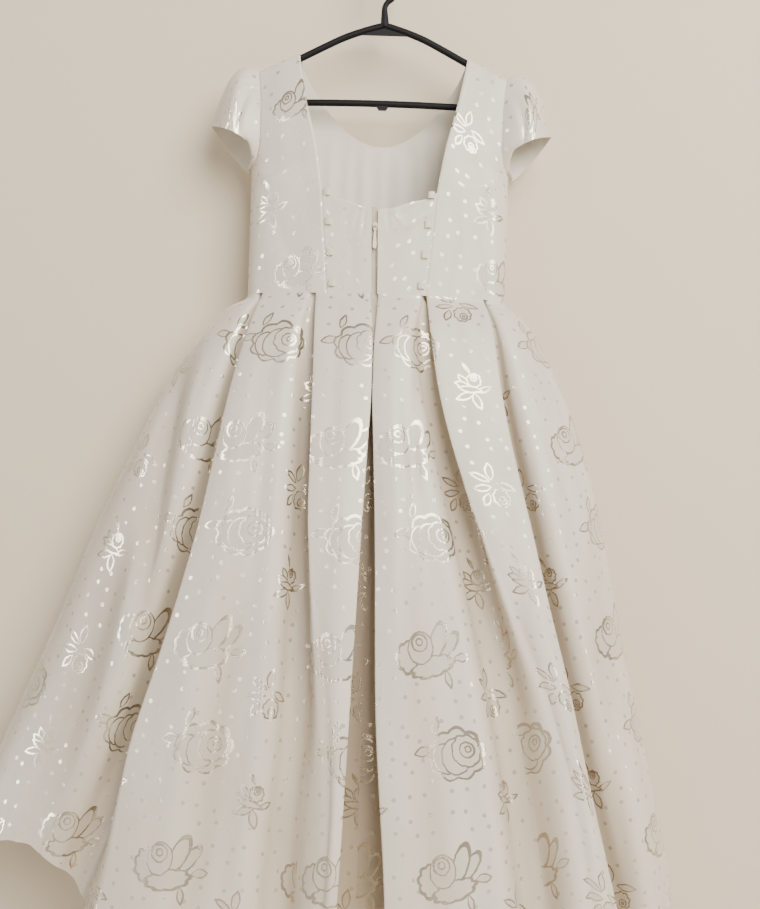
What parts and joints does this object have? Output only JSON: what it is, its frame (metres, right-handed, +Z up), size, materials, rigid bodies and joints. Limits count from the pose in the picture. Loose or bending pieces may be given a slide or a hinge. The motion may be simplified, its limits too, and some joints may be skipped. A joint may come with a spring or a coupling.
{
  "type": "formal dress on its clothes hanger",
  "caption": "Short-sleeved formal dress with a deep back neck, lacing loops, a back zip and a full pleated skirt, hung on a one-piece hanger.",
  "frame": {"origin": "top of the inside of the hanger's hook, where it hangs", "axes": "+Z up, -Y out of the dress's back, +X to the right of someone who looks at the dress's back"},
  "size_m": [0.8927, 0.222, 1.2051],
  "materials": {
    "jacquard": "ivory figured satin with a tone-on-tone woven pattern",
    "lining": "plain soft cream lining",
    "ribbon": "cream satin ribbon and zip tape",
    "zip_metal": "dulled metal",
    "hanger_plastic": "satin black moulded plastic"
  },
  "bodies": {
    "root": {"skirt_front": "jacquard", "skirt_back_left": "jacquard", "skirt_back_right": "jacquard", "bodice_front": "jacquard", "bodice_front_lining": "lining", "side_back_left": "jacquard", "side_back_right": "jacquard", "centre_back_left": "jacquard", "centre_back_right": "jacquard", "sleeve_left": "jacquard", "sleeve_right": "jacquard", "zip_tape_left": "ribbon", "zip_tape_right": "ribbon", "zip_slider": "zip_metal", "lacing_loop_left_1": "ribbon", "lacing_loop_left_2": "ribbon", "lacing_loop_left_3": "ribbon", "lacing_loop_left_4": "ribbon", "lacing_loop_right_1": "ribbon", "lacing_loop_right_2": "ribbon", "lacing_loop_right_3": "ribbon", "lacing_loop_right_4": "ribbon", "hanger": "hanger_plastic"},
    "pull": {"zip_pull": "zip_metal"}
  },
  "joints": [
    {"name": "zip_pull_swing", "type": "hinge", "parent": "root", "child": "pull", "pos_m": [-0.00347, -0.04848, -0.3425], "axis": [-1, 0, 0], "range_deg": [0, 165]}
  ]
}
